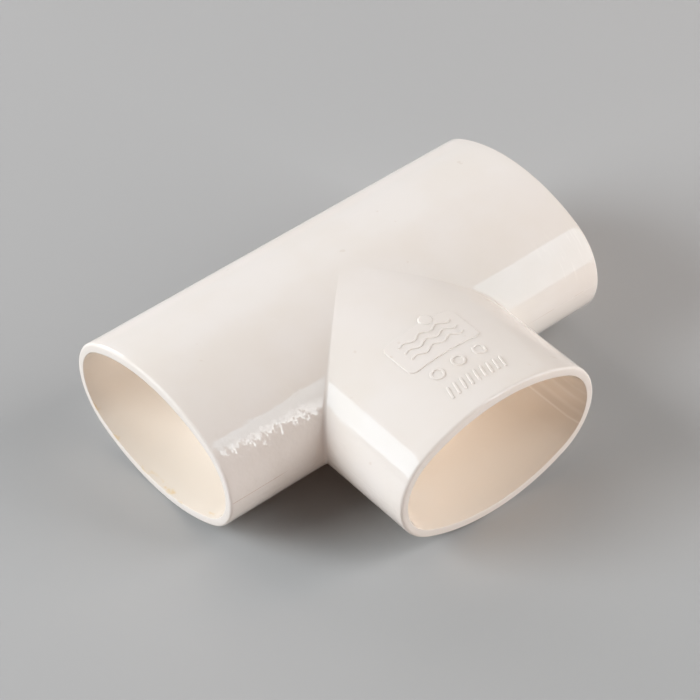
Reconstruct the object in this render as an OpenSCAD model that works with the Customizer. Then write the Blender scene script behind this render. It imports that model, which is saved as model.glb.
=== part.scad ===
// Equal tee for flat oval drain pipe, in rigid PVC. One moulding, drawn as the regions it is made of.
// The run lies along X and the branch points along -Y. The origin is where the three axes cross.

/* [Oval section] */
// Outside width of each barrel
outer_w = 66; // [64:0.5:70]
// Outside height of each barrel
outer_h = 42.6; // [41:0.2:45]
// Inside width of each socket, for a pipe 60 wide
bore_w = 60.3; // [59:0.1:60.5]
// Inside height of each socket, for a pipe 35 high
bore_h = 36; // [35:0.1:37]

/* [Lengths] */
// Distance from the crossing of the axes to each mouth
centre_to_end = 63.5; // [63:0.5:90]
// Depth that the pipe goes into each socket
socket_depth = 30; // [20:0.5:30]
// How much wider each socket is at its mouth, on every side
lead_in = 0.5; // [0.2:0.1:1]
// How far the taper of the lead-in runs into each socket
lead_in_length = 4; // [0.5:0.5:8]

/* [Pipe stops] */
// Height of each stop rib above the socket wall
stop_height = 1.5; // [1:0.1:3]
// Width of each stop rib along the pipe
stop_width = 2; // [1:0.5:2]

/* [Moulded marks] */
// How far the panel and each mark stand above what they are on
mark_height = 0.25; // [0.2:0.05:0.6]
// Length of the panel across the branch
panel_length = 23.5; // [18:0.5:26]
// Width of the panel along the branch
panel_width = 12.5; // [10:0.5:12.5]
// Radius of the panel's corners
panel_corner = 2; // [1:0.5:4]
// Diameter of the round gate pad on the panel's edge
gate_d = 4; // [3:0.5:5]
// Width of each raised stroke
stroke = 0.7; // [0.5:0.1:1]
// Size of one mark along the branch
mark_size = 4; // [3:0.5:5]
// Spacing of the two rows of marks
row_pitch = 7; // [6:0.5:8]

/* [Hidden] */
$fn = 120;
stop_at = centre_to_end - socket_depth;
panel_y = -37;
gate_x = 3.3;
ring_y = -47.5;
ring_count = 3;
ring_step = 7;
slant_y = ring_y - row_pitch;
slant_count = 9;
slant_step = 2.2;
slant_lean = 1.2;
wave_y = -36.7;
wave_r = 2;
half_arc = wave_r * sin(45);
wave_step = 2.6;
arcs_per_wave = 6;
ivory = "#EDE6DB";
ivory_mark = "#F1EBE2";

// A four-centred oval has two shallow arcs and two side arcs that meet smoothly. The centres of the arcs
// are the corners of 8-15-17 triangles, and oval_unit is the length that one of those units stands for.
function oval_unit(w, h) = (w - h) / 12;
function side_centre(w, h) = 8 * oval_unit(w, h);
function crown_centre(w, h) = 15 * oval_unit(w, h);
function side_r(w, h) = w / 2 - side_centre(w, h);
function crown_r(w, h) = h / 2 + crown_centre(w, h);

// A bar of oval section along Z, growing by flare on every side over its length.
module oval_bar(w, h, length, flare = 0) {
    c = side_centre(w, h);
    d = crown_centre(w, h);
    intersection() {
        translate([0, d, 0]) cylinder(h = length, r1 = crown_r(w, h), r2 = crown_r(w, h) + flare);
        translate([0, -d, 0]) cylinder(h = length, r1 = crown_r(w, h), r2 = crown_r(w, h) + flare);
        linear_extrude(length)
            polygon([[c, 0], [3 * c, 2 * d], [-3 * c, 2 * d], [-c, 0], [-3 * c, -2 * d], [3 * c, -2 * d]]);
    }
    for (side = [-1, 1])
        intersection() {
            translate([side * c, 0, 0]) cylinder(h = length, r1 = side_r(w, h), r2 = side_r(w, h) + flare);
            linear_extrude(length)
                polygon([[side * c, 0], [side * 3 * c, -2 * d], [side * 3 * c, 2 * d]]);
        }
}

// The solid bar that a barrel is cut from, from the crossing to one mouth, and the socket inside it.
module barrel_bar() oval_bar(outer_w, outer_h, centre_to_end);
module socket_bar() {
    oval_bar(bore_w, bore_h, centre_to_end);
    translate([0, 0, centre_to_end - lead_in_length])
        oval_bar(bore_w, bore_h, 2 * lead_in_length, 2 * lead_in);
}

// Turns a bar that stands on Z to point along +X, -X or -Y, with its width level.
module toward_right() rotate([90, 0, 90]) children();
module toward_left() rotate([90, 0, -90]) children();
module toward_branch() rotate([90, 0, 0]) children();

// The wedge in front of the two mitre planes, where the branch belongs.
module branch_wedge()
    translate([0, 0, -outer_h])
        linear_extrude(2 * outer_h)
            polygon([[0, 0], [-2 * centre_to_end, -2 * centre_to_end], [2 * centre_to_end, -2 * centre_to_end]]);

// One stop rib inside a socket, measured up the bar.
module stop_ring()
    translate([0, 0, stop_at - stop_width])
        difference() {
            oval_bar(bore_w, bore_h, stop_width);
            translate([0, 0, -stop_width])
                oval_bar(bore_w - 2 * stop_height, bore_h - 2 * stop_height, 3 * stop_width);
        }

// Trims upright shapes to a layer between two heights above the branch's curved top.
module on_branch_top(low, high)
    intersection() {
        children();
        translate([0, 0, -crown_centre(outer_w, outer_h)])
            rotate([90, 0, 0])
                difference() {
                    cylinder(h = centre_to_end, r = crown_r(outer_w, outer_h) + high);
                    translate([0, 0, -1])
                        cylinder(h = centre_to_end + 2, r = crown_r(outer_w, outer_h) + low);
                }
    }

module gate_post(h) translate([gate_x, panel_y + panel_width / 2, 0]) cylinder(h = h, d = gate_d);

// A quarter of an upright ring, centred on +Y.
module quarter_ring(r, w, h)
    intersection() {
        difference() {
            cylinder(h = h, r = r + w / 2);
            translate([0, 0, -1]) cylinder(h = h + 2, r = r - w / 2);
        }
        linear_extrude(h) polygon([[0, 0], [2 * r, 2 * r], [-2 * r, 2 * r]]);
    }

module run_barrel()
    color(ivory)
        difference() {
            union() {
                toward_right() barrel_bar();
                toward_left() barrel_bar();
            }
            toward_right() socket_bar();
            toward_left() socket_bar();
            branch_wedge();
        }

module branch_barrel()
    color(ivory)
        intersection() {
            difference() {
                toward_branch() barrel_bar();
                toward_branch() socket_bar();
            }
            branch_wedge();
        }

module left_pipe_stop() color(ivory) toward_left() stop_ring();

module right_pipe_stop() color(ivory) toward_right() stop_ring();

module branch_pipe_stop() color(ivory) toward_branch() stop_ring();

// Raised rectangle with rounded corners, notched where the gate pad stands.
module mark_panel()
    color(ivory_mark)
        on_branch_top(0, mark_height)
            difference() {
                translate([0, panel_y, 0]) {
                    translate([panel_corner - panel_length / 2, -panel_width / 2, 0])
                        cube([panel_length - 2 * panel_corner, panel_width, outer_h]);
                    translate([-panel_length / 2, panel_corner - panel_width / 2, 0])
                        cube([panel_length, panel_width - 2 * panel_corner, outer_h]);
                    for (x = [-1, 1], y = [-1, 1])
                        translate([x * (panel_length / 2 - panel_corner), y * (panel_width / 2 - panel_corner), 0])
                            cylinder(h = outer_h, r = panel_corner);
                }
                gate_post(outer_h);
            }

module gate_pad() color(ivory_mark) on_branch_top(0, 2 * mark_height) gate_post(outer_h);

// Three wavy lines across the panel, each made of arcs that bulge to one side and the other in turn.
module flow_waves()
    color(ivory_mark)
        for (row = [-1, 0, 1], i = [0:arcs_per_wave - 1])
            on_branch_top(mark_height, 2 * mark_height)
                translate([
                    (2 * i - arcs_per_wave + 1) * half_arc,
                    wave_y + row * wave_step + (2 * (i % 2) - 1) * half_arc,
                    0
                ])
                    rotate([0, 0, 180 * (i % 2)]) quarter_ring(wave_r, stroke, outer_h);

// An evenly spaced row of marks across the branch, centred on it.
module row_of(count, step, y)
    for (i = [0:count - 1])
        translate([(i - (count - 1) / 2) * step, y, 0]) children();

module ring_row()
    color(ivory_mark)
        on_branch_top(0, mark_height)
            row_of(ring_count, ring_step, ring_y)
                difference() {
                    cylinder(h = outer_h, d = mark_size);
                    translate([0, 0, -1]) cylinder(h = outer_h + 2, d = mark_size - 2 * stroke);
                }

module slant_row()
    color(ivory_mark)
        on_branch_top(0, mark_height)
            row_of(slant_count, slant_step, slant_y)
                linear_extrude(outer_h)
                    polygon([
                        [-stroke / 2 - slant_lean / 2, -mark_size / 2],
                        [stroke / 2 - slant_lean / 2, -mark_size / 2],
                        [stroke / 2 + slant_lean / 2, mark_size / 2],
                        [-stroke / 2 + slant_lean / 2, mark_size / 2]
                    ]);

run_barrel();
branch_barrel();
left_pipe_stop();
right_pipe_stop();
branch_pipe_stop();
mark_panel();
gate_pad();
flow_waves();
ring_row();
slant_row();
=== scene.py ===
import math

import bmesh
import bpy
import numpy as np
from mathutils import Matrix, Vector


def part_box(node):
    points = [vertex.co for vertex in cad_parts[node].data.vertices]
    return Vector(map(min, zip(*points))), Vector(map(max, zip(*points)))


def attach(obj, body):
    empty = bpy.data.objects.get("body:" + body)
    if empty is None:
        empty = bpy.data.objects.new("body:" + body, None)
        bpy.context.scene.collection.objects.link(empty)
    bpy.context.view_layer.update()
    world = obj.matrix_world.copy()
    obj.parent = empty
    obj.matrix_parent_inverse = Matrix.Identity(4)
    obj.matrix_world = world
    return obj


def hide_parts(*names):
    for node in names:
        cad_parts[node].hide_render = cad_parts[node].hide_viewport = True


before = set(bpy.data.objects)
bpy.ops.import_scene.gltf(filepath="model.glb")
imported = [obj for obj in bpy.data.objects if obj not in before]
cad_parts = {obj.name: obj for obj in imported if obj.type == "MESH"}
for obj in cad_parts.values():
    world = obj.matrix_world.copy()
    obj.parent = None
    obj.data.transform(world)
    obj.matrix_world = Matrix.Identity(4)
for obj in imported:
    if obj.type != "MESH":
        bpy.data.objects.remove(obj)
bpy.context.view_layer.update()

# ---------------------------------------------------------------- dimensions, in metres

MM = 0.001
run_low, run_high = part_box("run_barrel")
END = run_high.x  # from the crossing of the axes to each mouth


def to_drawing(length):
    """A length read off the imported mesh, rounded to the 0.05 mm that the part is drawn to."""
    return round(length / MM * 20) / 20 * MM


stop_low, stop_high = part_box("right_pipe_stop")
OUTER = (to_drawing(run_high.y), to_drawing(run_high.z))  # half width and half height
BORE = (to_drawing(stop_high.y), to_drawing(stop_high.z))
STOP_HEIGHT = 1.5 * MM
LEAD_IN = 0.5 * MM
LEAD_IN_LENGTH = 4 * MM
LIP_AT_EDGE = 0.6  # the lip attribute on the rim's inner edge; it is highest just inside
OUTER_EDGE_R = 0.8 * MM
INNER_EDGE_R = 0.15 * MM
FILLET_R = 1.1 * MM
PARTING_DEPTH = 0.04 * MM


# ---------------------------------------------------------------- oval section


def oval_arcs(half):
    """Centres and radii of the four-centred oval, whose centres are corners of 8-15-17 triangles."""
    unit = (half[0] - half[1]) / 6
    return 8 * unit, half[0] - 8 * unit, 15 * unit, half[1] + 15 * unit


JOIN = math.atan2(8, 15)  # where the crown's arc meets the side's arc
HALF_CROWN_STEPS = 24
SIDE_STEPS = 44
PARTING_STEP = math.radians(0.35)


def oval_point(half, turn, grow=0.0):
    """A point of the oval where its normal is turned by this angle from straight up, and that normal."""
    side, side_r, crown, crown_r = oval_arcs(half)
    n = (math.sin(turn), math.cos(turn))
    if abs(n[0]) <= math.sin(JOIN) + 1e-12:
        up = 1 if n[1] > 0 else -1
        return n[0] * (crown_r + grow), n[1] * (crown_r + grow) - up * crown, n
    out = 1 if n[0] > 0 else -1
    return n[0] * (side_r + grow) + out * side, n[1] * (side_r + grow), n


def section_turns():
    """Angles round the section: finer on the parting line at each side."""
    crown = np.linspace(-JOIN, JOIN, 2 * HALF_CROWN_STEPS + 1)
    side = np.linspace(JOIN, math.pi - JOIN, SIDE_STEPS + 1)
    quarter = math.pi / 2
    side = side[abs(side - quarter) > 2.2 * PARTING_STEP]
    side = np.sort(np.append(side, quarter + PARTING_STEP * np.array([-2, -1, 0, 1, 2])))
    right = list(crown[HALF_CROWN_STEPS:]) + list(side[1:-1]) + list(math.pi + crown[: HALF_CROWN_STEPS + 1])
    return right + [-a for a in reversed(right[1:-1])]


TURNS = section_turns()


def near_parting(turn):
    return abs(abs(turn) - math.pi / 2) < 1e-6


# ---------------------------------------------------------------- barrel rows

PATH_STEPS = [s * MM for s in (0, 0.12, 0.24, 0.36, 0.5, 0.65, 0.86, 1.1, 1.4)]
EDGE_STEPS = 5


def barrel_rows(turn, mitred):
    """The closed profile at one angle, from the crossing out over the rim and back to the crossing.

    Each row is (sideways, up, along, attributes).
    """
    u, v, n = oval_point(OUTER, turn)
    m = abs(u)
    out = 1 if u > 0 else -1
    groove = PARTING_DEPTH if near_parting(turn) else 0.0
    r = FILLET_R * abs(n[0]) if mitred else 0.0
    arc = r * math.pi / 4
    rows = []

    def add_row(point, along, lip=0.0, parting=0.0, inside=0.0):
        rows.append((point[0], point[1], along, {"lip": lip, "parting": parting, "inside": inside}))

    for s in PATH_STEPS:
        if mitred and s < arc:
            a = math.pi / 4 - s / r
            add_row((out * (m + r - r * math.cos(a)), v), m + r - r * math.sin(a))
        else:
            add_row((u, v), (m + r - arc if mitred else 0) + s)
    reach = END - OUTER_EDGE_R
    first = rows[-1][2]
    for k in (0.02, 0.25, 0.5, 0.75, 0.95, 1.0):
        add_row(oval_point(OUTER, turn, -groove), first + k * (reach - first), parting=1.0 if groove else 0.0)
    for i in range(1, EDGE_STEPS + 1):
        a = math.pi / 2 * i / EDGE_STEPS
        shrink = OUTER_EDGE_R * (1 - math.cos(a))
        add_row(oval_point(OUTER, turn, -shrink), reach + OUTER_EDGE_R * math.sin(a))
    for i in range(EDGE_STEPS + 1):
        a = math.pi / 2 * i / EDGE_STEPS
        grow = LEAD_IN + INNER_EDGE_R * (1 - math.sin(a))
        along = END - INNER_EDGE_R * (1 - math.cos(a))
        add_row(oval_point(BORE, turn, grow), along, LIP_AT_EDGE, inside=i / EDGE_STEPS)
    for k in (0.3, 0.65, 1.0):
        add_row(oval_point(BORE, turn, LEAD_IN * (1 - k)), END - k * LEAD_IN_LENGTH, 1 - k, inside=1.0)
    bore = oval_point(BORE, turn)
    back = abs(bore[0]) if mitred else 0.0
    for k in (0.66, 0.33, 0):
        add_row(bore, back + k * (END - LEAD_IN_LENGTH - back), inside=1.0)
    return rows


def build_barrel(name, halves):
    """halves: list of (place, mitred_at, flip) where place turns (sideways, up, along) into a point."""
    me = bpy.data.meshes.new(name)
    bm = bmesh.new()
    layers = {key: bm.verts.layers.float.new(key) for key in ("lip", "parting", "inside")}
    seam_layer = bm.verts.layers.int.new("seam")
    outer_layer = bm.faces.layers.int.new("outer")
    for place, mitred_at, flip in halves:
        columns = []
        for turn in TURNS:
            mitred = mitred_at(turn)
            column = []
            for i, (u, v, w, values) in enumerate(barrel_rows(turn, mitred)):
                vert = bm.verts.new(place(u, v, w))
                for key, value in values.items():
                    vert[layers[key]] = value
                vert[seam_layer] = 1 if (i == 0 and mitred) else 0
                column.append(vert)
            columns.append(column)
        for i in range(len(columns)):
            a, b = columns[i], columns[(i + 1) % len(columns)]
            ends_mitred = mitred_at(TURNS[i]) and mitred_at(TURNS[(i + 1) % len(TURNS)])
            for j in range(len(a) - 1):
                f = bm.faces.new([a[j], b[j], b[j + 1], a[j + 1]][:: -1 if flip else 1])
                f[outer_layer] = 1
            if ends_mitred:
                bm.faces.new([a[-1], b[-1], b[0], a[0]][:: -1 if flip else 1])
    bmesh.ops.remove_doubles(bm, verts=bm.verts, dist=1e-7)
    bmesh.ops.recalc_face_normals(bm, faces=bm.faces)
    for f in bm.faces:
        f.smooth = True
    bm.to_mesh(me)
    bm.free()
    me.set_sharp_from_angle(angle=math.radians(32))
    smooth_over_crease(me)
    obj = bpy.data.objects.new(name, me)
    bpy.context.scene.collection.objects.link(obj)
    return obj


def smooth_over_crease(me):
    """Gives the two barrels the same normals where their fillets meet on the mitre planes."""
    seam = np.zeros(len(me.vertices), np.int32)
    me.attributes["seam"].data.foreach_get("value", seam)
    outer = np.zeros(len(me.polygons), np.int32)
    me.attributes["outer"].data.foreach_get("value", outer)
    normals = [Vector((0, 0, 0))] * len(me.loops)
    corner = me.corner_normals
    for p in me.polygons:
        if not outer[p.index]:
            continue
        for li in p.loop_indices:
            vi = me.loops[li].vertex_index
            if not seam[vi]:
                continue
            n = Vector(corner[li].vector)
            co = me.vertices[vi].co
            swap = Vector((-n.y, -n.x, n.z)) if co.x > 0 else Vector((n.y, n.x, n.z))
            both = n + swap
            normals[li] = (Vector((0, 0, 1 if co.z > 0 else -1)) if abs(co.x) < 1e-6 else both.normalized())
    me.normals_split_custom_set(normals)


def faces_branch(turn):
    """The half of the run's section on the branch's side, its top and bottom lines included."""
    return turn < 1e-9 or turn > math.pi - 1e-9


run_shell = build_barrel(
    "run_shell",
    [
        (lambda u, v, w: (w, u, v), faces_branch, False),
        (lambda u, v, w: (-w, u, v), faces_branch, True),
    ],
)
branch_shell = build_barrel("branch_shell", [(lambda u, v, w: (u, -w, v), lambda t: True, False)])

for obj, node in ((run_shell, "run_barrel"), (branch_shell, "branch_barrel")):
    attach(obj, "root")
    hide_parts(node)


# ---------------------------------------------------------------- pipe stops


def mesh_object(name, bm, node, sharp=32):
    bmesh.ops.recalc_face_normals(bm, faces=bm.faces)
    for f in bm.faces:
        f.smooth = True
    me = bpy.data.meshes.new(name)
    bm.to_mesh(me)
    bm.free()
    me.set_sharp_from_angle(angle=math.radians(sharp))
    obj = bpy.data.objects.new(name, me)
    bpy.context.scene.collection.objects.link(obj)
    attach(obj, "root")
    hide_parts(node)
    return obj


def stop_rib(name, node, place, start, width):
    """A low ring inside a socket with rounded shoulders, its foot sunk a little into the wall."""
    edge = 0.4 * MM
    profile = [(-0.2 * MM, start), (0, start), (STOP_HEIGHT - edge, start)]
    for i in range(1, 6):
        a = math.pi / 2 * i / 5
        profile.append((STOP_HEIGHT - edge + edge * math.sin(a), start + edge * (1 - math.cos(a))))
    profile += [(h, 2 * start + width - w) for h, w in reversed(profile)]
    bm = bmesh.new()
    columns = []
    for turn in TURNS:
        column = []
        for h, w in profile:
            u, v, _ = oval_point(BORE, turn, -h)
            column.append(bm.verts.new(place(u, v, w)))
        columns.append(column)
    for i in range(len(columns)):
        a, b = columns[i], columns[(i + 1) % len(columns)]
        for j in range(len(profile)):
            k = (j + 1) % len(profile)
            bm.faces.new((a[j], b[j], b[k], a[k]))
    return mesh_object(name, bm, node)


STOP_START, STOP_WIDTH = to_drawing(stop_low.x), to_drawing(stop_high.x - stop_low.x)
stops = [
    stop_rib("left_stop_rib", "left_pipe_stop", lambda u, v, w: (-w, u, v), STOP_START, STOP_WIDTH),
    stop_rib("right_stop_rib", "right_pipe_stop", lambda u, v, w: (w, u, v), STOP_START, STOP_WIDTH),
    stop_rib("branch_stop_rib", "branch_pipe_stop", lambda u, v, w: (u, -w, v), STOP_START, STOP_WIDTH),
]

# ---------------------------------------------------------------- raised marks on the branch's top

_, _, CROWN, CROWN_R = oval_arcs(OUTER)
SUNK = 0.12 * MM


def onto_top(x, y, h):
    """A plan position lifted onto the branch's curved top, then out along its normal by h."""
    k = 1 + h / CROWN_R
    return x * k, y, math.sqrt(CROWN_R**2 - x**2) * k - CROWN


def offset_loop(loop, inset):
    """Each point of a counter-clockwise loop moved inwards along its own normal."""
    p = np.array(loop)
    along = np.roll(p, -1, 0) - np.roll(p, 1, 0)
    along /= np.linalg.norm(along, axis=1)[:, None]
    return p + inset * np.stack([-along[:, 1], along[:, 0]], 1)


def edge_profile(height, edge, foot):
    """(inset, height) pairs up a raised shape's side: a small concave foot, a wall and a rounded edge."""
    levels = [(-foot, -SUNK), (-foot, 0), (-0.3 * foot, 0.3 * foot), (0, foot)]
    for i in range(5):
        a = math.pi / 2 * i / 4
        levels.append((edge * (1 - math.cos(a)), height - edge + edge * math.sin(a)))
    return levels


def add_pad(bm, loop, base, height, edge=0.12 * MM, foot=0.08 * MM, dome=0.0):
    """A raised convex pad with this outline in plan, cut into strips so that it bends with the top."""
    flat = bmesh.new()
    rings = []
    for inset, h in edge_profile(height, edge, foot):
        rings.append([flat.verts.new((x, y, base + h)) for x, y in offset_loop(loop, inset)])
    for low, high in zip(rings, rings[1:]):
        for i in range(len(loop)):
            k = (i + 1) % len(loop)
            flat.faces.new((low[i], low[k], high[k], high[i]))
    flat.faces.new(rings[-1])
    flat.faces.new(list(reversed(rings[0])))
    xs, ys = [x for x, _ in loop], [y for _, y in loop]
    step = 0.5 * MM
    for axis, values in ((0, xs), (1, ys)):
        at = min(values) + step
        while at < max(values) - 0.2 * step:
            normal = (1, 0, 0) if axis == 0 else (0, 1, 0)
            spot = (at, 0, 0) if axis == 0 else (0, at, 0)
            geom = flat.verts[:] + flat.edges[:] + flat.faces[:]
            bmesh.ops.bisect_plane(flat, geom=geom, dist=2e-6, plane_co=spot, plane_no=normal)
            at += step
    bmesh.ops.dissolve_degenerate(flat, dist=1e-6, edges=flat.edges)
    cx, cy = (min(xs) + max(xs)) / 2, (min(ys) + max(ys)) / 2
    reach = (max(xs) - min(xs)) / 2
    for v in flat.verts:
        x, y, h = v.co
        if dome and h > base + 0.5 * height:
            h += dome * max(0.0, 1 - ((x - cx) ** 2 + (y - cy) ** 2) / reach**2)
        v.co = onto_top(x, y, h)
    me = bpy.data.meshes.new("scratch")
    flat.to_mesh(me)
    flat.free()
    bm.from_mesh(me)
    bpy.data.meshes.remove(me)


def add_rib(bm, path, half, base, height, closed=False, edge=0.12 * MM, foot=0.06 * MM):
    """A raised line of this half width along a path in plan: a closed ring, or open with round ends."""
    p = np.array(path)
    run = np.roll(p, -1, 0) - np.roll(p, 1, 0) if closed else np.gradient(p, axis=0)
    run /= np.linalg.norm(run, axis=1)[:, None]
    length = np.concatenate([[0], np.cumsum(np.linalg.norm(np.diff(p, axis=0), axis=1))])
    side = np.stack([-run[:, 1], run[:, 0]], 1)
    levels = edge_profile(height, edge, foot)
    profile = [(half - inset, h) for inset, h in levels]
    profile += [(0, levels[-1][1])] + [(-s, h) for s, h in reversed(profile)]
    stations = []
    for i in range(len(p)):
        near_end = half if closed else min(length[i], length[-1] - length[i])
        k = math.sqrt(max(0.02, 1 - max(0.0, 1 - near_end / half) ** 2))
        row = []
        for s, h in profile:
            x, y = p[i] + side[i] * s * k
            row.append(bm.verts.new(onto_top(x, y, base + h)))
        stations.append(row)
    followers = stations[1:] + stations[:1] if closed else stations[1:]
    for a, b in zip(stations, followers):
        for j in range(len(profile)):
            k = (j + 1) % len(profile)
            bm.faces.new((a[j], b[j], b[k], a[k]))
    if not closed:
        bm.faces.new(stations[0])
        bm.faces.new(list(reversed(stations[-1])))


def rounded_loop(corners, radius, steps=6):
    """A counter-clockwise outline through convex corners, each rounded to this radius."""
    loop = []
    c = [Vector(q) for q in corners]
    for i, q in enumerate(c):
        before, after = (c[i - 1] - q).normalized(), (c[(i + 1) % len(c)] - q).normalized()
        half_angle = before.angle(after) / 2
        centre = q + (before + after).normalized() * radius / math.sin(half_angle)
        start = q + before * radius / math.tan(half_angle) - centre
        sweep = math.pi - 2 * half_angle
        for k in range(steps + 1):
            a = sweep * k / steps
            loop.append(
                (
                    centre.x + start.x * math.cos(a) - start.y * math.sin(a),
                    centre.y + start.x * math.sin(a) + start.y * math.cos(a),
                )
            )
    return loop


def circle_loop(cx, cy, r, steps=36):
    return [(cx + r * math.cos(a), cy + r * math.sin(a)) for a in np.linspace(0, 2 * math.pi, steps, False)]


panel_low, panel_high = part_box("mark_panel")
MARK = 0.25 * MM
STROKE = 0.7 * MM
panel = bmesh.new()
add_pad(
    panel,
    rounded_loop(
        [
            (panel_low.x, panel_low.y),
            (panel_high.x, panel_low.y),
            (panel_high.x, panel_high.y),
            (panel_low.x, panel_high.y),
        ],
        2 * MM,
    ),
    0,
    MARK,
)
mark_panel = mesh_object("raised_panel", panel, "mark_panel")

gate_low, gate_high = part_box("gate_pad")
gate = bmesh.new()
gate_middle = (gate_low + gate_high) / 2
add_pad(
    gate,
    circle_loop(gate_middle.x, gate_middle.y, (gate_high.x - gate_low.x) / 2),
    0,
    1.6 * MARK,
    edge=0.3 * MM,
    dome=0.35 * MARK,
)
gate_pad = mesh_object("gate_stub", gate, "gate_pad")

wave_low, wave_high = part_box("flow_waves")
waves = bmesh.new()
WAVE_ARCS, WAVE_STEP, WAVE_SWING = 6, 2.6 * MM, 0.59 * MM
wave_reach = wave_high.x - STROKE / 2
for row in (-1, 0, 1):
    middle = (wave_low.y + wave_high.y) / 2 + row * WAVE_STEP
    path = []
    for t in np.linspace(0, 1, 145):
        path.append(((2 * t - 1) * wave_reach, middle + WAVE_SWING * math.sin(WAVE_ARCS * math.pi * t)))
    add_rib(waves, path, STROKE / 2, MARK, MARK)
flow_waves = mesh_object("wave_lines", waves, "flow_waves")

ring_low, ring_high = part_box("ring_row")
rings = bmesh.new()
ring_r = (ring_high.y - ring_low.y) / 2
for i in (-1, 0, 1):
    centre = (i * (ring_high.x - ring_r), (ring_low.y + ring_high.y) / 2)
    add_rib(rings, circle_loop(*centre, ring_r - STROKE / 2), STROKE / 2, 0, MARK, closed=True)
ring_row = mesh_object("rings", rings, "ring_row")

slant_low, slant_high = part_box("slant_row")
slants = bmesh.new()
SLANTS, SLANT_LEAN = 9, 1.2 * MM
slant_reach = (slant_high.x - slant_low.x - STROKE - SLANT_LEAN) / 2
for x in np.linspace(-slant_reach, slant_reach, SLANTS):
    start = np.array((x - SLANT_LEAN / 2, slant_low.y))
    end = np.array((x + SLANT_LEAN / 2, slant_high.y))
    add_rib(slants, [start * (1 - t) + end * t for t in np.linspace(0, 1, 25)], STROKE / 2, 0, MARK)
slant_row = mesh_object("slant_bars", slants, "slant_row")

# ---------------------------------------------------------------- materials


def srgb(r, g, b):
    """A display colour, 0 to 255 and above 10 in each channel, as the linear colour that a shader takes."""
    return tuple(((c / 255 + 0.055) / 1.055) ** 2.4 for c in (r, g, b)) + (1.0,)


class Nodes:
    """Short calls for the shader nodes of one material."""

    def __init__(self, name):
        self.material = bpy.data.materials.new(name)
        self.material.use_nodes = True
        self.tree = self.material.node_tree
        self.shader = self.tree.nodes["Principled BSDF"]

    def add(self, kind, **values):
        node = self.tree.nodes.new(kind)
        for key, value in values.items():
            if hasattr(node, key):
                setattr(node, key, value)
            else:
                node.inputs[key].default_value = value
        return node

    def link(self, source, target, name):
        self.tree.links.new(source, target.inputs[name] if isinstance(name, (str, int)) else name)
        return source

    def place(self, scale=(1, 1, 1)):
        """Object coordinates, stretched."""
        where = self.add("ShaderNodeTexCoord")
        mapping = self.add("ShaderNodeMapping", Scale=scale)
        self.link(where.outputs["Object"], mapping, "Vector")
        return mapping.outputs["Vector"]

    def noise(self, scale, detail=2.0, rough=0.5, stretch=(1, 1, 1)):
        n = self.add("ShaderNodeTexNoise", Scale=scale, Detail=detail, Roughness=rough)
        self.link(self.place(stretch), n, "Vector")
        return n.outputs["Fac"]

    def ramp(self, source, low, high, to_low=0.0, to_high=1.0):
        """A smooth step from one value to another, as the source goes from low to high."""
        r = self.add("ShaderNodeMapRange", interpolation_type="SMOOTHSTEP")
        for name, value in (("From Min", low), ("From Max", high), ("To Min", to_low), ("To Max", to_high)):
            r.inputs[name].default_value = value
        self.link(source, r, "Value")
        return r.outputs["Result"]

    def maths(self, operation, a, b):
        m = self.add("ShaderNodeMath", operation=operation)
        for i, value in enumerate((a, b)):
            if isinstance(value, (int, float)):
                m.inputs[i].default_value = value
            else:
                self.link(value, m, i)
        return m.outputs[0]

    def mix(self, amount, a, b):
        m = self.add("ShaderNodeMix", data_type="RGBA")
        if isinstance(amount, float):
            m.inputs["Factor"].default_value = amount
        else:
            self.tree.links.new(amount, m.inputs["Factor"])
        for name, value in (("A", a), ("B", b)):
            socket = [i for i in m.inputs if i.name == name and i.type == "RGBA"][0]
            if isinstance(value, tuple):
                socket.default_value = value
            else:
                self.tree.links.new(value, socket)
        return [o for o in m.outputs if o.type == "RGBA"][0]

    def attribute(self, name):
        return self.add("ShaderNodeAttribute", attribute_name=name).outputs["Fac"]

    def axis(self, name):
        """One coordinate of the point, in metres."""
        split = self.add("ShaderNodeSeparateXYZ")
        self.link(self.place(), split, 0)
        return split.outputs[name]

    def bump(self, height, strength, distance, before=None):
        b = self.add("ShaderNodeBump", Strength=strength, Distance=distance)
        self.link(height, b, "Height")
        if before is not None:
            self.link(before, b, "Normal")
        return b.outputs["Normal"]


IVORY = srgb(241, 235, 229)
IVORY_WARM = srgb(239, 232, 224)
BORE_PAINTED_GLOW = srgb(234, 225, 213)  # painted warm glow: stands in for the light that bounces inside the bores and comes through the walls
# pale colour for the painted reflection streaks in the branch's bore and for the scratches on the run's right
# flank
PALE_REFLECTION_AND_SCRATCH = srgb(252, 246, 238)
SPECK = srgb(196, 172, 146)
LINE_BROWN = srgb(190, 158, 134)
STAIN = srgb(228, 200, 146)


def moulded_pvc(name, wear_and_painted_light=None):
    """Glossy ivory PVC straight from the mould: faint flow shading, a slightly wavy skin and a few specks."""
    n = Nodes(name)
    tone = n.mix(n.ramp(n.noise(45, 3), 0.35, 0.68), IVORY, IVORY_WARM)
    specks = n.ramp(n.noise(330, 1, 0.4), 0.76, 0.81)
    tone = n.mix(n.maths("MULTIPLY", specks, 0.16), tone, SPECK)
    rough = n.ramp(n.noise(160, 4, 0.6), 0.3, 0.75, 0.035, 0.06)
    skin = n.bump(n.noise(38, 1.5, 0.4), 0.5, 0.06 * MM)
    skin = n.bump(n.noise(290, 2, 0.5), 1.0, 0.015 * MM, skin)
    # the step passed in adds wear and painted light: for the bores a painted warm glow and painted reflection
    # streaks
    if wear_and_painted_light:
        tone, skin = wear_and_painted_light(n, tone, skin)
    s = n.shader
    n.link(tone, s, "Base Color")
    n.link(rough, s, "Roughness")
    n.link(skin, s, "Normal")
    s.inputs["IOR"].default_value = 1.53
    return n.material


def part_of_barrel(n, *stretches):
    """A mask that is 1 where each axis is past its stretch, given as (axis, none here, full here)."""
    mask = 1.0
    for axis, none, full in stretches:
        mask = n.maths("MULTIPLY", n.ramp(n.axis(axis), none, full), mask)
    return mask


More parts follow.
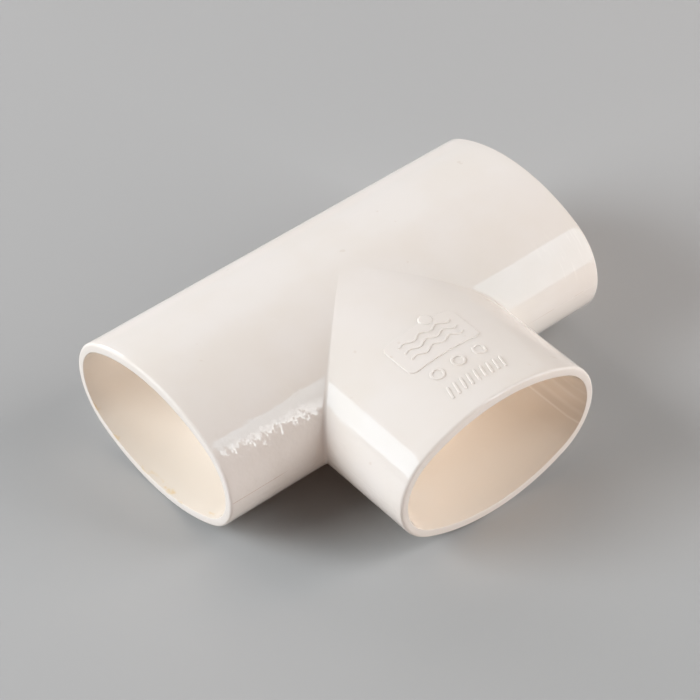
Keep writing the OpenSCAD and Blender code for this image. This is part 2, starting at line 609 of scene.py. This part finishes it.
def paint_reflection_streaks(n):
    """Painted reflections: pale lines along the right wall of the branch's bore.

    Each is a height, a half width and a strength: one sharp and three soft.
    """
    total = 0.0
    for height, half, strength in ((-8.0, 0.4, 0.75), (-5.6, 1.0, 0.35), (-2.4, 0.9, 0.3), (0.9, 1.0, 0.25)):
        away = n.maths("ABSOLUTE", n.maths("SUBTRACT", n.axis("Z"), height * MM), 0.0)
        total = n.maths("ADD", n.ramp(away, half * MM, 0.0, 0.0, strength), total)
    return n.maths("MULTIPLY", total, part_of_barrel(n, ("X", 0.020, 0.024), ("Y", -0.020, -0.034)))


def paint_bore_glow_and_streaks(n, tone):
    # the bores are painted warmer for the light that bounces in them and comes through the walls, then the
    # painted reflection streaks are laid on
    tone = n.mix(n.attribute("inside"), tone, BORE_PAINTED_GLOW)
    return n.mix(n.maths("MULTIPLY", n.attribute("inside"), paint_reflection_streaks(n)), tone, PALE_REFLECTION_AND_SCRATCH)


def draw_parting_line(n, tone):
    """A hairline where the mould's halves met: whole by the left mouth and broken and faint to the right."""
    dashes = n.ramp(n.noise(1, 2, stretch=(150, 20, 20)), 0.48, 0.6, 0.0, 0.5)
    right = n.maths("MULTIPLY", dashes, part_of_barrel(n, ("X", 0.034, 0.046)))
    line = n.maths("MAXIMUM", right, part_of_barrel(n, ("X", -0.044, -0.049)))
    return n.mix(n.maths("MULTIPLY", n.attribute("parting"), line), tone, LINE_BROWN)


def stain_left_lip(n, tone):
    patches = n.ramp(n.noise(1, 3, 0.6, stretch=(200, 150, 150)), 0.54, 0.68, 0.0, 0.7)
    patches = n.maths("MULTIPLY", patches, part_of_barrel(n, ("Z", 0.002, -0.004), ("X", -0.055, -0.060)))
    return n.mix(n.maths("MULTIPLY", n.ramp(n.attribute("lip"), 0.45, 0.68), patches), tone, STAIN)


def scratch_right_flank(n, tone):
    lines = n.ramp(n.noise(1, 2, 0.5, stretch=(1000, 110, 110)), 0.54, 0.68, 0.0, 0.35)
    flank = part_of_barrel(n, ("X", 0.044, 0.052), ("Y", -0.020, -0.026), ("Z", 0.003, 0.008))
    return n.mix(n.maths("MULTIPLY", lines, flank), tone, PALE_REFLECTION_AND_SCRATCH)


def barrel_wear_and_painted_light(n, tone, skin):
    """What the moulding and its use left on the barrels, with a dimpled skin on the run's left flank; also
    the bores' painted warm glow and painted reflection streaks.
    """
    tone = paint_bore_glow_and_streaks(n, tone)
    tone = draw_parting_line(n, tone)
    tone = stain_left_lip(n, tone)
    tone = scratch_right_flank(n, tone)
    left_flank = part_of_barrel(n, ("X", -0.028, -0.034), ("Y", -0.016, -0.024))
    skin = n.bump(n.maths("MULTIPLY", n.noise(330, 2, 0.6), left_flank), 1.0, 0.12 * MM, skin)
    return tone, skin


pvc_barrel = moulded_pvc("ivory_pvc_barrel", barrel_wear_and_painted_light)
# the stops carry the bores' painted warm glow, at nine tenths
pvc_stops = moulded_pvc("ivory_pvc_stops", lambda n, tone, skin: (n.mix(0.9, tone, BORE_PAINTED_GLOW), skin))
pvc_marks = moulded_pvc("ivory_pvc_marks")
for obj in (run_shell, branch_shell):
    obj.data.materials.append(pvc_barrel)
for obj in stops:
    obj.data.materials.append(pvc_stops)
for obj in (mark_panel, gate_pad, flow_waves, ring_row, slant_row):
    obj.data.materials.append(pvc_marks)

# ---------------------------------------------------------------- floor, light and camera


def paper():
    n = Nodes("grey_paper")
    tone = n.mix(n.ramp(n.noise(3.5, 2), 0.3, 0.7), srgb(180, 181, 181), srgb(183, 184, 184))
    n.link(tone, n.shader, "Base Color")
    n.link(n.ramp(n.noise(40, 3), 0.3, 0.7, 0.5, 0.62), n.shader, "Roughness")
    n.link(n.bump(n.noise(2500, 2), 0.05, 0.02 * MM), n.shader, "Normal")
    n.shader.inputs["Specular IOR Level"].default_value = 0.2
    return n.material


def floor():
    me = bpy.data.meshes.new("floor")
    reach, z = 4.0, run_low.z
    corners = [(-reach, -reach, z), (reach, -reach, z), (reach, reach, z), (-reach, reach, z)]
    me.from_pydata(corners, [], [(0, 1, 2, 3)])
    obj = bpy.data.objects.new("floor", me)
    bpy.context.scene.collection.objects.link(obj)
    me.materials.append(paper())


floor()


def panel_light(name, centre, across, up, width, height, power, colour, glossy=True):
    """A flat rectangular light. It shines along the opposite of across x up."""
    light = bpy.data.lights.new(name, "AREA")
    light.shape = "RECTANGLE"
    light.size, light.size_y, light.energy, light.color = width, height, power, colour
    obj = bpy.data.objects.new(name, light)
    away = across.cross(up).normalized()
    axes = Matrix((across.normalized(), away.cross(across).normalized(), away)).transposed()
    obj.matrix_world = Matrix.Translation(centre) @ axes.to_4x4()
    obj.visible_glossy = glossy
    bpy.context.scene.collection.objects.link(obj)


def softbox(name, azimuth, elevation, distance, half_wide, half_high, power, colour=(1, 1, 1), glossy=True):
    """A light aimed at the origin, sized by its half angles in degrees. Azimuth turns from +X towards +Y."""
    a, e = math.radians(azimuth), math.radians(elevation)
    towards = Vector((math.cos(e) * math.cos(a), math.cos(e) * math.sin(a), math.sin(e)))
    across = Vector((-math.sin(a), math.cos(a), 0))
    width, height = (2 * distance * math.tan(math.radians(h)) for h in (half_wide, half_high))
    panel_light(name, towards * distance, across, towards.cross(across), width, height, power, colour, glossy)


def standing_board(name, left, right, bottom, top, power, colour=(1, 1, 1), glossy=True):
    """An upright light between two places on the floor plan, lit on the side that faces the object."""
    a, b = Vector((*left, bottom)), Vector((*right, bottom))
    upright = Vector((0, 0, 1))
    centre = (a + b) / 2 + upright * (top - bottom) / 2
    panel_light(name, centre, b - a, upright, (b - a).length, top - bottom, power, colour, glossy)


def bore_light(name, place, power, colour):
    """A dim ball of light on a bore's axis, for the light that comes in through the walls."""
    light = bpy.data.lights.new(name, "POINT")
    light.energy, light.color, light.shadow_soft_size = power, colour, 0.012
    obj = bpy.data.objects.new(name, light)
    obj.location = place
    obj.visible_glossy = obj.visible_camera = False
    bpy.context.scene.collection.objects.link(obj)


# The key box, the front board and its strips and the three back lights from back_box to back_wall_edge are
# mirrored in the plastic. The others only fill.
BOARD_FOOT, BOARD_TOP = -0.005, 1.1
BOARD_LEFT = (0.231, -0.536)  # where the front board's left edge stands on the floor plan

softbox("key_box", 146, 28, 1.5, 14, 14.5, 4.6, (0.78, 1.02, 1.19))
softbox("key_fill", 154, 28, 1.5, 17, 18, 18.5, glossy=False)
standing_board("front_board", BOARD_LEFT, (0.80, -0.426), BOARD_FOOT, BOARD_TOP, 4.2, (0.75, 1.04, 1.2))
standing_board("front_strip", BOARD_LEFT, (0.290, -0.5246), BOARD_FOOT, 0.60, 0.30, (1.0, 1.0, 0.97))
standing_board("front_strip_low", BOARD_LEFT, (0.260, -0.5304), BOARD_FOOT, 0.42, 0.08)
standing_board("front_fill", BOARD_LEFT, (1.20, -0.35), BOARD_FOOT, BOARD_TOP, 5.7, (1.32, 0.92, 0.72), False)
softbox("back_box", 93, 17, 2.0, 17, 12, 13.2, (1.09, 0.96, 0.94))
softbox("back_wall", 57, 17.5, 2.0, 26, 20, 2.5, (0.8, 1.03, 1.17))
softbox("back_wall_edge", 57, 38.5, 2.0, 26, 2.0, 0.2)
softbox("back_high", 75, 45, 2.0, 20, 14, 5.2, (1.12, 1.0, 0.9), glossy=False)
softbox("low_warm_fill", 235, 4, 2.0, 25, 3.5, 3.3, (1.5, 0.86, 0.57), glossy=False)
bore_light("branch_glow", (0, -0.030, 0), 0.0060, (1.16, 0.94, 0.81))
bore_light("left_glow", (-0.040, 0, 0), 0.0058, (0.96, 1.0, 1.06))

world = bpy.data.worlds.new("studio")
bpy.context.scene.world = world
world.use_nodes = True
world.node_tree.nodes["Background"].inputs["Color"].default_value = (0.95, 0.97, 1.0, 1)
world.node_tree.nodes["Background"].inputs["Strength"].default_value = 0.03

camera_data = bpy.data.cameras.new("camera")
camera = bpy.data.objects.new("camera", camera_data)
bpy.context.scene.collection.objects.link(camera)
bpy.context.scene.camera = camera
camera_data.sensor_width = 36
camera_data.lens = 149.53
camera_data.clip_start, camera_data.clip_end = 0.01, 20
CAMERA_AT = Vector((-350.93, -447.24, 536.26)) * MM
CAMERA_AZIMUTH, CAMERA_ELEVATION, CAMERA_ROLL = -38.32, 43.84, -1.89
a, e, roll = (math.radians(x) for x in (CAMERA_AZIMUTH, CAMERA_ELEVATION, CAMERA_ROLL))
back = Vector((math.sin(a) * math.cos(e), -math.cos(a) * math.cos(e), math.sin(e)))
right = Vector((math.cos(a), math.sin(a), 0))
up = back.cross(right)
turned_right = right * math.cos(roll) + up * math.sin(roll)
turned_up = up * math.cos(roll) - right * math.sin(roll)
camera_axes = Matrix((turned_right, turned_up, back)).transposed()
camera.matrix_world = Matrix.Translation(CAMERA_AT) @ camera_axes.to_4x4()

bpy.context.scene.view_settings.view_transform = "Standard"

bpy.context.view_layer.update()
